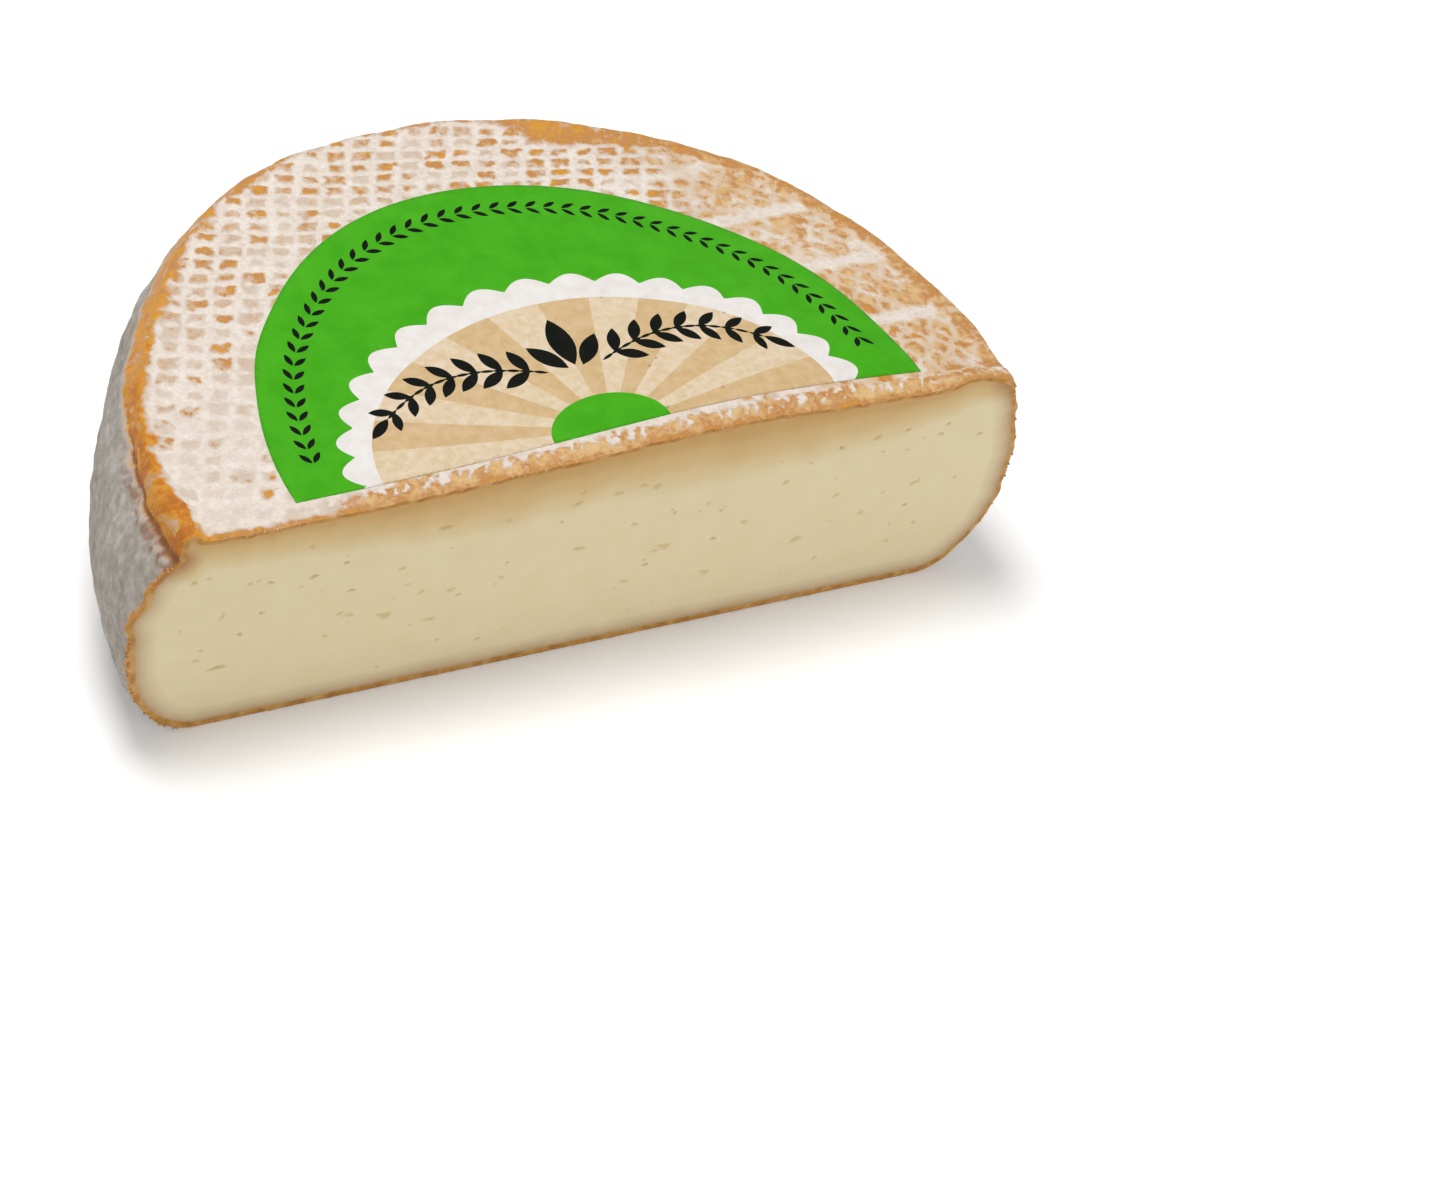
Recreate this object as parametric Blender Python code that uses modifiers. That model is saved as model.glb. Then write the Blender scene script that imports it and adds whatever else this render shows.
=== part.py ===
"""Half a wheel of washed-rind cheese, with a half-round paper label on its top.

Metres, +Z up. The cut runs along X and faces -Y. The origin is the middle of the footprint, on the base.
Shapes are first made about the wheel's own axis, at X = Y = 0, and moved onto the origin at the end.
"""

import math

import bmesh
import bpy
from mathutils import Vector, noise

# The wheel's outline: an elliptical heel between a flat base and a shoulder
WIDEST_RADIUS = 0.1001
WIDEST_HEIGHT = 0.026
BASE_RADIUS = 0.083
SHOULDER_HEIGHT = 0.0547
UPPER_SEMI_DEPTH = 0.0172
UPPER_SEMI_HEIGHT = 0.034
DEPTH_STRETCH = 1.058  # the wheel is a little longer from front to back than across

# The top: flat under a low dome that is highest to the right of the middle
TOP_HEIGHT = 0.0545
TOP_RINGS = (0.015, 0.030, 0.043, 0.054, 0.063, 0.070, 0.075, 0.079, 0.0825, 0.0855, 0.088)
SHOULDER_RINGS = ((0.0898, 0.0549), (0.0914, 0.0551), (0.0928, 0.0547))
DOME_HEIGHT = 0.0055
DOME_PLACE = (0.035, 0.010)
DOME_WIDTH = 0.055
DOME_EDGE = 0.092
BACK_LIFT, BACK_LIFT_FROM, BACK_LIFT_TO = 0.0012, 0.0, 0.085

# The knife passed just in front of the wheel's axis
CUT_Y = -0.0072

# Mesh steps
TURN_STEPS = 180
UPPER_STEPS = 11
LOWER_STEPS = 10

# Relief of the rind
LUMP_HEIGHT, LUMP_LENGTH = 0.0004, 0.022
DIMPLE_HEIGHT, DIMPLE_LENGTH = 0.0004, 0.008
CRAG_HEIGHT, CRAG_LENGTH = 0.0006, 0.0035
CRUST_HEIGHT, CRUST_LENGTH = 0.0009, 0.012
CRUST_RADIUS, CRUST_WIDTH = 0.0905, 0.0035

# A raised strip of crust on the left shoulder, with a split below it
RIDGE_ANGLES = (159.0, 187.0)
RIDGE_HEIGHT, RIDGE_RADIUS, RIDGE_WIDTH = 0.0005, 0.0908, 0.0024
SPLIT_DEPTH, SPLIT_HEIGHT, SPLIT_WIDTH = 0.0012, 0.0506, 0.0018

# A crumb of crust that sticks out of the left end of the cut
CRUMB_PLACE = (-0.1000, CUT_Y, 0.0338)
CRUMB_HEIGHT, CRUMB_WIDTH = 0.0016, 0.0034

# Eyes in the cut: X, height, half width and half height of each, in millimetres
EYES = (
    (-36.3, 44.8, 1.6, 0.8),
    (-22.1, 43.4, 0.9, 0.9),
    (-65.1, 47.0, 1.0, 0.6),
    (-86.0, 43.4, 0.7, 0.6),
    (-44.0, 35.3, 1.1, 0.6),
    (-32.1, 25.8, 1.3, 0.6),
    (-38.7, 27.0, 1.0, 0.6),
    (-46.1, 22.2, 2.1, 0.8),
    (-54.3, 24.5, 1.2, 0.7),
    (-35.5, 18.1, 1.4, 0.6),
    (-82.0, 31.6, 0.7, 1.2),
    (-90.5, 29.9, 0.6, 0.6),
    (-58.6, 19.5, 0.9, 0.5),
    (-81.3, 16.6, 2.2, 0.6),
    (-20.9, 26.6, 1.0, 0.5),
    (-77.1, 39.6, 0.9, 0.5),
    (-7.0, 44.2, 1.5, 0.6),
    (2.1, 45.1, 1.2, 0.7),
    (7.8, 46.0, 1.0, 0.6),
    (11.0, 44.9, 1.3, 0.7),
    (7.9, 34.7, 0.9, 0.6),
    (42.7, 38.3, 1.2, 0.7),
    (62.8, 46.7, 1.3, 0.8),
    (64.4, 23.9, 0.8, 1.0),
    (-4.0, 30.5, 1.4, 0.7),
    (16.5, 26.0, 1.9, 0.8),
    (9.0, 17.5, 1.1, 0.6),
    (28.5, 15.0, 1.5, 0.7),
    (35.0, 28.5, 1.2, 0.6),
    (49.5, 19.5, 1.8, 0.8),
    (56.5, 31.0, 1.0, 0.7),
    (76.0, 30.0, 1.4, 0.7),
    (79.5, 17.0, 0.9, 0.6),
)
MILLIMETRE = 0.001
EYE_DEPTH = 0.9  # of an eye's half width, and never less than the least depth
EYE_LEAST_DEPTH = 0.0009

# The label: a disc cut off by a straight edge just behind the cheese's cut
LABEL_CENTRE = (0.0018, 0.0050)
LABEL_RADIUS = 0.0696
LABEL_EDGE = ((-0.0675, -0.0022), (0.0722, -0.0006))
LABEL_THICKNESS = 0.0004
LABEL_GAP = 0.0003
LABEL_STEPS = 72
LABEL_RINGS = 6

# Colours
RIND_COLOUR = (0.72, 0.50, 0.30, 1.0)
PASTE_COLOUR = (0.72, 0.58, 0.36, 1.0)
LABEL_COLOUR = (0.07, 0.36, 0.03, 1.0)


def clear_scene():
    for item in list(bpy.data.objects):
        bpy.data.objects.remove(item, do_unlink=True)


def make_collection(name):
    collection = bpy.data.collections.new(name)
    bpy.context.scene.collection.children.link(collection)
    return collection


def make_material(name, colour, roughness):
    material = bpy.data.materials.new(name)
    material.use_nodes = True
    shader = material.node_tree.nodes["Principled BSDF"]
    shader.inputs["Base Color"].default_value = colour
    shader.inputs["Roughness"].default_value = roughness
    shader.inputs["Metallic"].default_value = 0.0
    return material


def smooth(low, high, value):
    """0 below low, 1 above high, and an S-curve between them."""
    part = min(max((value - low) / (high - low), 0.0), 1.0)
    return part * part * (3.0 - 2.0 * part)


def bell(distance, width):
    return math.exp(-((distance / width) ** 2))


def ripple(point, length):
    """Smooth noise from -1 to 1 whose features are about this long."""
    return noise.noise(Vector(point) / length)


def dome(x, y):
    """How far the top stands above TOP_HEIGHT."""
    offset = math.hypot(x - DOME_PLACE[0], y - DOME_PLACE[1])
    edge = min(math.hypot(x, y / DEPTH_STRETCH) / DOME_EDGE, 1.0)
    lift = BACK_LIFT * smooth(BACK_LIFT_FROM, BACK_LIFT_TO, y)
    return DOME_HEIGHT * bell(offset, DOME_WIDTH) * (1.0 - edge**8) + lift


def wheel_profile():
    """(radius, height) points from the middle of the top, down the heel, to the middle of the base."""
    points = [(0.0, TOP_HEIGHT)]
    points += [(radius, TOP_HEIGHT) for radius in TOP_RINGS]
    points += SHOULDER_RINGS
    steepest = math.asin((SHOULDER_HEIGHT - 0.0013 - WIDEST_HEIGHT) / UPPER_SEMI_HEIGHT)
    for step in range(UPPER_STEPS + 1):
        angle = steepest * (1.0 - step / UPPER_STEPS)
        radius = WIDEST_RADIUS - UPPER_SEMI_DEPTH * (1.0 - math.cos(angle))
        points.append((radius, WIDEST_HEIGHT + UPPER_SEMI_HEIGHT * math.sin(angle)))
    for step in range(1, LOWER_STEPS + 1):
        angle = math.pi / 2 * step / LOWER_STEPS
        radius = BASE_RADIUS + (WIDEST_RADIUS - BASE_RADIUS) * math.cos(angle)
        points.append((radius, WIDEST_HEIGHT * (1.0 - math.sin(angle))))
    points.append((0.0, 0.0))
    return points


def turned_mesh(name, points, steps):
    """The mesh that a profile of (radius, height) points makes when a Screw modifier turns it once."""
    mesh = bpy.data.meshes.new(name)
    links = [(index, index + 1) for index in range(len(points) - 1)]
    mesh.from_pydata([(radius, 0.0, height) for radius, height in points], links, [])
    item = bpy.data.objects.new(name, mesh)
    bpy.context.scene.collection.objects.link(item)
    screw = item.modifiers.new("turn", "SCREW")
    screw.steps = steps
    screw.render_steps = steps
    screw.use_merge_vertices = True
    screw.merge_threshold = 0.00001
    graph = bpy.context.evaluated_depsgraph_get()
    turned = bpy.data.meshes.new_from_object(item.evaluated_get(graph))
    bpy.data.objects.remove(item, do_unlink=True)
    return turned


def under_label(x, y):
    """1 where the label presses the rind flat, and 0 a little outside it."""
    return 1.0 - smooth(
        LABEL_RADIUS + 0.001,
        LABEL_RADIUS + 0.006,
        math.hypot(x - LABEL_CENTRE[0], y - LABEL_CENTRE[1]),
    )


def ridge_share(angle):
    """1 along the raised strip of crust, fading out at its far end."""
    start, end = RIDGE_ANGLES
    return smooth(start - 4.0, start + 4.0, angle) * (1.0 - smooth(end, end + 4.0, angle))


def rind_shift(place, normal):
    """How far a point of the turned wheel moves, as a vector."""
    radius = math.hypot(place.x, place.y / DEPTH_STRETCH)
    angle = math.degrees(math.atan2(place.y, place.x)) % 360.0
    above_base = smooth(0.0005, 0.006, place.z)
    free = 1.0 - (under_label(place.x, place.y) if place.z > SHOULDER_HEIGHT - 0.001 else 0.0)
    heel = 1.0 - smooth(SHOULDER_HEIGHT - 0.004, SHOULDER_HEIGHT, place.z)
    amount = LUMP_HEIGHT * ripple(place, LUMP_LENGTH)
    amount += DIMPLE_HEIGHT * heel * ripple(place, DIMPLE_LENGTH)
    on_top = 1.0 - heel
    crust = bell(radius - CRUST_RADIUS, CRUST_WIDTH) * on_top
    amount += CRUST_HEIGHT * crust * ripple(place, CRUST_LENGTH)
    ridge = ridge_share(angle)
    amount += RIDGE_HEIGHT * ridge * on_top * bell(radius - RIDGE_RADIUS, RIDGE_WIDTH)
    amount -= SPLIT_DEPTH * ridge * bell(place.z - SPLIT_HEIGHT, SPLIT_WIDTH) * heel
    crumb = (place - Vector(CRUMB_PLACE)).length
    amount += CRUMB_HEIGHT * bell(crumb, CRUMB_WIDTH)
    shift = normal * amount * above_base * free
    shift.z += dome(place.x, place.y) * smooth(WIDEST_HEIGHT, SHOULDER_HEIGHT - 0.001, place.z)
    return shift


def wavy_foot(place):
    """The base's rim wanders in and out a little, and stays on the floor."""
    foot = (1.0 - smooth(0.0005, 0.006, place.z)) * smooth(0.05, BASE_RADIUS, math.hypot(place.x, place.y))
    return place.xy.normalized().to_3d() * (0.0011 * foot * ripple(place, 0.016))


def cut_open(body, paste_index):
    """Cut the wheel with the knife's plane, roughen the rind's edge there, and close the cut."""
    everything = body.verts[:] + body.edges[:] + body.faces[:]
    plane = {"plane_co": (0.0, CUT_Y, 0.0), "plane_no": (0.0, -1.0, 0.0)}
    bmesh.ops.bisect_plane(body, geom=everything, dist=1e-6, clear_outer=True, **plane)
    rim = [edge for edge in body.edges if edge.is_boundary]
    for vert in {vert for edge in rim for vert in edge.verts}:
        vert.co.y = CUT_Y
        crag = smooth(0.001, 0.004, vert.co.z)
        vert.co.x += CRAG_HEIGHT * crag * ripple(vert.co, CRAG_LENGTH)
        vert.co.z += CRAG_HEIGHT * crag * ripple(vert.co.zxy, CRAG_LENGTH)
    filled = bmesh.ops.triangle_fill(body, edges=rim, use_beauty=True, normal=(0.0, -1.0, 0.0))
    for face in filled["geom"]:
        if isinstance(face, bmesh.types.BMFace):
            face.material_index = paste_index


def make_cheese(rind, paste):
    mesh = turned_mesh("cheese", wheel_profile(), TURN_STEPS)
    mesh.materials.append(rind)
    mesh.materials.append(paste)
    body = bmesh.new()
    body.from_mesh(mesh)
    bmesh.ops.remove_doubles(body, verts=body.verts, dist=1e-6)
    for vert in body.verts:
        vert.co.y *= DEPTH_STRETCH
    body.normal_update()
    moves = [rind_shift(vert.co, vert.normal) + wavy_foot(vert.co) for vert in body.verts]
    for vert, move in zip(body.verts, moves):
        vert.co += move
    cut_open(body, 1)
    bmesh.ops.recalc_face_normals(body, faces=body.faces)
    bmesh.ops.triangulate(body, faces=body.faces)
    body.to_mesh(mesh)
    body.free()
    mesh.shade_smooth()
    mesh.set_sharp_from_angle(angle=math.radians(40.0))
    return bpy.data.objects.new("cheese", mesh)


def add_eye(body, x, height, half_width, half_height):
    """Add one small uneven hollow, centred on the cut."""
    middle = Vector((x, 0.0, height)) * MILLIMETRE + Vector((0.0, CUT_Y, 0.0))
    depth = max(EYE_DEPTH * half_width * MILLIMETRE, EYE_LEAST_DEPTH)
    ball = bmesh.ops.create_icosphere(body, subdivisions=2, radius=1.0)
    for vert in ball["verts"]:
        swell = 1.0 + 0.45 * ripple(vert.co + middle * 1000.0, 1.1)
        stretched = (half_width * MILLIMETRE, depth, half_height * MILLIMETRE)
        vert.co = middle + Vector(a * b * swell for a, b in zip(vert.co, stretched))


def make_eye_cutters(paste):
    body = bmesh.new()
    for eye in EYES:
        add_eye(body, *eye)
    mesh = bpy.data.meshes.new("eye_cutters")
    body.to_mesh(mesh)
    body.free()
    mesh.materials.append(paste)
    cutters = bpy.data.objects.new("eye_cutters", mesh)
    cutters.hide_render = True
    cutters.display_type = "WIRE"
    return cutters


def cut_eyes(cheese, cutters):
    boolean = cheese.modifiers.new("eyes", "BOOLEAN")
    boolean.operation = "DIFFERENCE"
    boolean.solver = "EXACT"
    boolean.object = cutters
    boolean.material_mode = "TRANSFER"


def make_label(paper):
    """A thin sheet that follows the dome, cut off along its straight edge."""
    rings = [(LABEL_RADIUS * ring / LABEL_RINGS, 0.0) for ring in range(LABEL_RINGS + 1)]
    mesh = turned_mesh("label", rings, LABEL_STEPS)
    mesh.materials.append(paper)
    sheet = bmesh.new()
    sheet.from_mesh(mesh)
    bmesh.ops.remove_doubles(sheet, verts=sheet.verts, dist=1e-6)
    bmesh.ops.translate(sheet, verts=sheet.verts, vec=(*LABEL_CENTRE, 0.0))
    left, right = (Vector((*end, 0.0)) for end in LABEL_EDGE)
    along = right - left
    outward = Vector((along.y, -along.x, 0.0)).normalized()
    everything = sheet.verts[:] + sheet.edges[:] + sheet.faces[:]
    bmesh.ops.bisect_plane(
        sheet, geom=everything, dist=1e-6, plane_co=left, plane_no=outward, clear_outer=True
    )
    for vert in sheet.verts:
        vert.co.z = TOP_HEIGHT + dome(vert.co.x, vert.co.y) + LABEL_GAP
    sheet.normal_update()
    if sum(face.normal.z for face in sheet.faces) < 0:
        bmesh.ops.reverse_faces(sheet, faces=sheet.faces)
    sheet.to_mesh(mesh)
    sheet.free()
    label = bpy.data.objects.new("label", mesh)
    paper_depth = label.modifiers.new("paper", "SOLIDIFY")
    paper_depth.thickness = LABEL_THICKNESS
    paper_depth.offset = 1.0
    mesh.shade_smooth()
    return label


def move_to_footprint(cheese, pieces):
    """Shift every piece so that the origin is the middle of the cheese's footprint."""
    corners = [vert.co for vert in cheese.data.vertices]
    middle_x = (min(corner.x for corner in corners) + max(corner.x for corner in corners)) / 2
    middle_y = (min(corner.y for corner in corners) + max(corner.y for corner in corners)) / 2
    for piece in pieces:
        piece.location = (-middle_x, -middle_y, 0.0)


def main():
    clear_scene()
    parts = make_collection("cheese_wheel")
    helpers = make_collection("cutters")
    rind = make_material("rind", RIND_COLOUR, 0.8)
    paste = make_material("paste", PASTE_COLOUR, 0.45)
    paper = make_material("label_paper", LABEL_COLOUR, 0.35)
    cheese = make_cheese(rind, paste)
    cutters = make_eye_cutters(paste)
    label = make_label(paper)
    parts.objects.link(cheese)
    parts.objects.link(label)
    helpers.objects.link(cutters)
    cut_eyes(cheese, cutters)
    move_to_footprint(cheese, (cheese, label, cutters))


main()
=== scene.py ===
"""Half a wheel of washed-rind cheese with its paper label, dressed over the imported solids.

Shapes are worked out in millimetres about the wheel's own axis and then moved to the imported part.
The cheese is one closed body: a rind mapped from a flat sheet of points, a cut face and a base.
"""

import math

import bmesh
import bpy
import numpy as np
from mathutils import Euler, Matrix, Vector, geometry, noise

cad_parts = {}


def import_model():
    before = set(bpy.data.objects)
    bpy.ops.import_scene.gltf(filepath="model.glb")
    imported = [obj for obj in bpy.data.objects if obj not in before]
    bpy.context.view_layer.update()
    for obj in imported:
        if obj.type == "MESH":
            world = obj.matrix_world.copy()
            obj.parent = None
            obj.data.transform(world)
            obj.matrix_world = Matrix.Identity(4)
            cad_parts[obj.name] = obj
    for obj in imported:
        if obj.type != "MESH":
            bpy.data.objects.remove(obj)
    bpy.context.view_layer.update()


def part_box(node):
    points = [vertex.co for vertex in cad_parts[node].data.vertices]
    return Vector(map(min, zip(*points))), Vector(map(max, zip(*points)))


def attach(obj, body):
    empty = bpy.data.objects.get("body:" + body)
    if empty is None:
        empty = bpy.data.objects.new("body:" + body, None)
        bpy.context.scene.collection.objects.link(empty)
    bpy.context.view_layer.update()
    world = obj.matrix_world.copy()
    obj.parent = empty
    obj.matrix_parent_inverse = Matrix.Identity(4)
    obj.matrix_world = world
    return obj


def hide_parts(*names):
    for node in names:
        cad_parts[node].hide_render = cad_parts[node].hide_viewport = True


MM = 0.001
SEED = 7

# The wheel's outline, as its solid has it
WIDEST_RADIUS, WIDEST_HEIGHT = 100.1, 26.0
BASE_RADIUS = 83.0
SHOULDER_HEIGHT = 54.7
UPPER_SEMI_DEPTH, UPPER_SEMI_HEIGHT = 17.2, 34.0
UPPER_START = SHOULDER_HEIGHT - 1.3
DEPTH_STRETCH = 1.058
TOP_HEIGHT = 54.5
SHOULDER_RINGS = ((88.0, 54.5), (89.8, 54.9), (91.4, 55.1), (92.8, 54.7))
DOME_HEIGHT, DOME_WIDTH, DOME_EDGE = 5.5, 55.0, 92.0
DOME_PLACE = (35.0, 10.0)
BACK_LIFT, BACK_LIFT_TO = 1.2, 85.0
CUT_Y = -7.2

# How far the rim and the heel stray from that outline, by angle round the wheel
SHIFT_ANGLES = (-10, 4, 12, 20, 30, 44, 52, 60, 70, 92, 100, 108, 116, 124, 132, 140, 148, 190)
RIM_SHIFT = (1.8, 2.2, 2.1, 2.2, 2.5, 2.6, 2.0, 1.5, 0.3, 0.1, 0.8, 1.7, 2.4, 1.9, 1.2, 0.1, -0.5, 0.0)
HEEL_ANGLES = (-10, 12, 20, 140, 148, 156, 164, 172, 180, 190)
HEEL_SHIFT = (-1.0, -1.0, 0.0, 0.0, -0.8, -0.9, -0.1, 0.7, 1.4, 1.6)
SHIFT_RADII = (72.0, 92.0)
HEEL_HEIGHTS = (42.0, 50.0)

# How far the top stands up along the cut, by X
LIP_X = (36.0, 50.0, 61.0, 73.0, 78.5, 84.0, 90.0, 93.0, 97.0)
LIP_LIFT = (0.0, -0.8, 0.0, 0.5, 2.0, 4.0, 3.3, 1.6, 0.0)
LIP_WIDTH = 9.0

# Relief that the solid has too
LUMP_HEIGHT, LUMP_LENGTH = 0.4, 22.0
DIMPLE_HEIGHT, DIMPLE_LENGTH = 0.4, 8.0
CRUST_HEIGHT, CRUST_LENGTH, CRUST_RADIUS, CRUST_WIDTH = 0.9, 12.0, 90.5, 3.5
RIDGE_ANGLES = (159.0, 187.0)
RIDGE_HEIGHT, RIDGE_RADIUS, RIDGE_WIDTH = 0.5, 90.8, 2.4
SPLIT_DEPTH, SPLIT_HEIGHT, SPLIT_WIDTH = 0.8, 50.6, 1.8
CRUMB_PLACE = (-100.0, CUT_Y, 33.8)
CRUMB_HEIGHT, CRUMB_WIDTH = 1.6, 3.4
FOOT_WAVE, FOOT_LENGTH = 1.1, 16.0

# The cloth's threads on the left of the top, and the finer, crumpled ones on its right
NET_TURN, NET_PITCH = -15.0, (5.6, 5.0)
NET_THREAD = 0.4
NET_SHEAR, NET_CROWDING = 0.16, 0.0022
FINE_TURN, FINE_PITCH = -38.0, (4.5, 4.1)
WORN_X = (34.0, 62.0)

# The white bars that a rack left across the top
BARS_Y = (16.3, 35.6, 54.5, 73.0)
BAR_STRENGTHS = (0.9, 0.92, 0.95, 0.6)
BAR_TURN, BAR_HALF_WIDTH = 7.0, 2.0

# The bare crust at the top's rim: angle round the wheel, width, and how golden it is
RIM_RADIUS = 94.0
RIM_CRUST = (
    (-10, 6.5, 0.5), (0, 5.5, 0.5), (25, 4.8, 0.5), (45, 5.2, 0.5), (55, 5.5, 0.52),
    (62, 6.5, 0.58), (68, 9.0, 0.62), (74, 7.5, 0.6), (80, 3.0, 0.56), (95, 1.6, 0.5),
    (108, 2.2, 0.5), (116, 3.4, 0.56), (130, 3.0, 0.62), (145, 3.2, 0.74), (155, 3.2, 0.8),
    (165, 2.8, 0.86), (174, 3.4, 0.9), (180, 5.2, 0.92), (190, 6.5, 0.88),
)

# The bare band of crust along the knife's edge, and where the heel's grey starts, partly grey bloom and
# partly painted shade
BAND_WIDTH, BAND_X = 4.6, (-72.0, -46.0)
GREY_TOP = 49.8

# How deep the darker zone under the top's rind goes in the cut, by X
ZONE_X = (-100, -88, -68, -42, -20, 0, 25, 48, 71, 90, 100)
ZONE_DEPTHS = (4.0, 8.5, 9.5, 14.0, 16.5, 14.5, 18.5, 16.5, 12.0, 7.5, 4.5)

# Eyes in the cut: X, height, half width and half height of each
EYES = (
    (-36.3, 44.8, 1.6, 0.8), (-22.1, 43.4, 0.9, 0.9), (-65.1, 47.0, 1.0, 0.6),
    (-86.0, 43.4, 0.7, 0.6), (-44.0, 35.3, 1.1, 0.6), (-32.1, 25.8, 1.3, 0.6),
    (-38.7, 27.0, 1.0, 0.6), (-46.1, 22.2, 2.1, 0.8), (-54.3, 24.5, 1.2, 0.7),
    (-35.5, 18.1, 1.4, 0.6), (-82.0, 31.6, 0.7, 1.2), (-90.5, 29.9, 0.6, 0.6),
    (-58.6, 19.5, 0.9, 0.5), (-81.3, 16.6, 2.2, 0.6), (-20.9, 26.6, 1.0, 0.5),
    (-77.1, 39.6, 0.9, 0.5), (-7.0, 44.2, 1.5, 0.6), (2.1, 45.1, 1.2, 0.7), (7.8, 46.0, 1.0, 0.6),
    (11.0, 44.9, 1.3, 0.7), (7.9, 34.7, 0.9, 0.6), (42.7, 38.3, 1.2, 0.7), (62.8, 46.7, 1.3, 0.8),
    (64.4, 23.9, 0.8, 1.0), (-4.0, 30.5, 1.4, 0.7), (16.5, 26.0, 1.9, 0.8), (9.0, 17.5, 1.1, 0.6),
    (28.5, 15.0, 1.5, 0.7), (35.0, 28.5, 1.2, 0.6), (49.5, 19.5, 1.8, 0.8), (56.5, 31.0, 1.0, 0.7),
    (76.0, 30.0, 1.4, 0.7), (79.5, 17.0, 0.9, 0.6),
)
EYE_DEPTH, EYE_LEAST_DEPTH = 0.24, 0.16
PINHOLES = 70

# Spacing of the mesh's points: on the rind's top, heel, foot and under the label, then on the cut
TOP_STEP, HEEL_STEP, FOOT_STEP, HIDDEN_STEP = 0.55, 0.95, 1.25, 3.0
EYE_STEP, EDGE_STEP, PASTE_STEP = 0.3, 0.6, 1.7
BASE_STEP, LABEL_STEP = 1.2, 1.0
ROW_SHARE, JITTER = 0.866, 0.12

# How many of the likely places by the knife's edge carry a loose crumb, and its half width
CRUMB_SHARE = 0.22
CRUMB_SIZES = (0.22, 0.5)

# The label
LABEL_CENTRE = (1.8, 5.0)
LABEL_RADIUS = 69.6
LABEL_EDGE = ((-67.5, -2.2), (72.2, -0.6))
LABEL_LIFT, LABEL_THICKNESS = -0.04, 0.1

# Where the label's edge bulges from its plain arc: angle round its centre, how far out, and width
LABEL_BULGES = ((-6.0, 2.6, 10.0), (46.0, -3.0, 25.0), (112.0, 2.3, 28.0), (151.0, 0.6, 8.0))

# The label's print: a ring of leaves, a scalloped half oval, a fan of rays, a hub and two sprigs
RING_RADIUS, RING_STEP = 62.0, 3.6
LUNETTE_CENTRE, LUNETTE = (1.0, -1.6), (57.0, 46.0)
SCALLOPS, SCALLOP_DEPTH = 17, 2.8
FAN, RAYS = (50.0, 38.0), 14
HUB = (13.0, 9.88)
STEM_ROOT, STEM_REACH = (7.0, 19.0), 36.0
STEM_RISE, STEM_BEND, STEM_DROOP = 9.0, 1.9, 12.0
STEM_LEAVES = 7

# The camera, found by fitting the outlines of the cut, the rim and the label
CAMERA_TARGET = (0.0309, -0.0623, 0.0118)
CAMERA_AZIMUTH, CAMERA_ELEVATION, CAMERA_ROLL = -37.6, 44.3, 16.3
CAMERA_DISTANCE, CAMERA_LENS, CAMERA_SENSOR = 0.8, 94.5, 36.0

# Lights: place and width in metres, and power in watts
LIGHT_TARGET = (0.0, 0.0, 0.03)
LIGHTS = (("key", (-0.15, 0.19, 1.02), 0.42, 7.0), ("fill", (0.40, -0.95, 0.30), 0.8, 3.2))
WORLD_STRENGTH = 0.40
FLOOR_GLOW, FLOOR_DROP, FLOOR_REACH = 0.12, 0.0002, 3.0

# Colours as they are read on a screen, from 0 to 255, with the place of each in its ramp
CRUST = (
    (0.0, (222, 194, 156)), (0.3, (216, 177, 121)), (0.55, (188, 131, 74)), (0.75, (212, 149, 46)),
    (0.92, (198, 120, 22)), (1.0, (184, 108, 30)),
)
BLOOM = ((0.2, (208, 192, 178)), (0.5, (225, 213, 201)), (0.8, (238, 231, 223)))
# The heel's grey is partly grey bloom and partly painted shade on that side
GREY_AND_SHADE = ((0.1, (124, 110, 92)), (0.34, (150, 142, 131)), (0.6, (169, 162, 153)), (0.9, (202, 196, 189)))
VEIL, WORN_VEIL = (194, 170, 147), (208, 172, 124)
SPLIT, STAIN = (112, 62, 32), (168, 112, 68)
# The last of these is painted shade for the eyes' hollows
PASTE, PALE_PASTE, EYE_PAINTED_SHADE = (214, 198, 158), (218, 203, 166), (200, 168, 100)
ZONE = (
    (0.02, (180, 134, 70)), (0.1, (184, 143, 82)), (0.22, (188, 152, 92)), (0.34, (195, 162, 106)),
    (0.52, (200, 171, 118)), (0.66, (205, 180, 130)), (0.8, (208, 187, 141)), (1.0, PASTE),
)
SIDE = (
    (0.05, (160, 118, 66)), (0.14, (168, 132, 88)), (0.25, (178, 148, 108)),
    (0.42, (190, 166, 128)), (0.65, (202, 183, 146)), (1.0, PASTE),
)
SKIN = ((0.3, (158, 106, 36)), (0.5, (176, 126, 52)), (0.7, (196, 150, 84)))
INKS = (
    ("ink_green", (72, 172, 24), (62, 162, 14), 6.0),
    ("ink_white", (232, 228, 224), (222, 216, 210), 4.0),
    ("ink_tan", (211, 184, 142), (201, 169, 122), 2.5),
    ("ink_cream", (224, 206, 180), (212, 188, 152), 2.0),
    ("ink_dark", (10, 16, 6), (4, 8, 3), 4.0),
)
GREEN, WHITE, TAN, CREAM, DARK = range(len(INKS))


def smooth(low, high, value):
    """0 below low, 1 above high, and an S-curve between them."""
    part = np.clip((np.asarray(value, float) - low) / (high - low), 0.0, 1.0)
    return part * part * (3.0 - 2.0 * part)


def directions(angles):
    return np.stack([np.cos(angles), np.sin(angles)], axis=1)


def blend(share, first, second):
    """The first where share is 0, the second where it is 1."""
    return first * (1.0 - share) + second * share


def bell(distance, width):
    return np.exp(-((np.asarray(distance, float) / width) ** 2))


def ripple(points, length, shift=0.0):
    """Smooth noise from -1 to 1 at each point; its features are about this long."""
    return np.array([noise.noise(Vector(point)) for point in points / length + shift])


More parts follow.
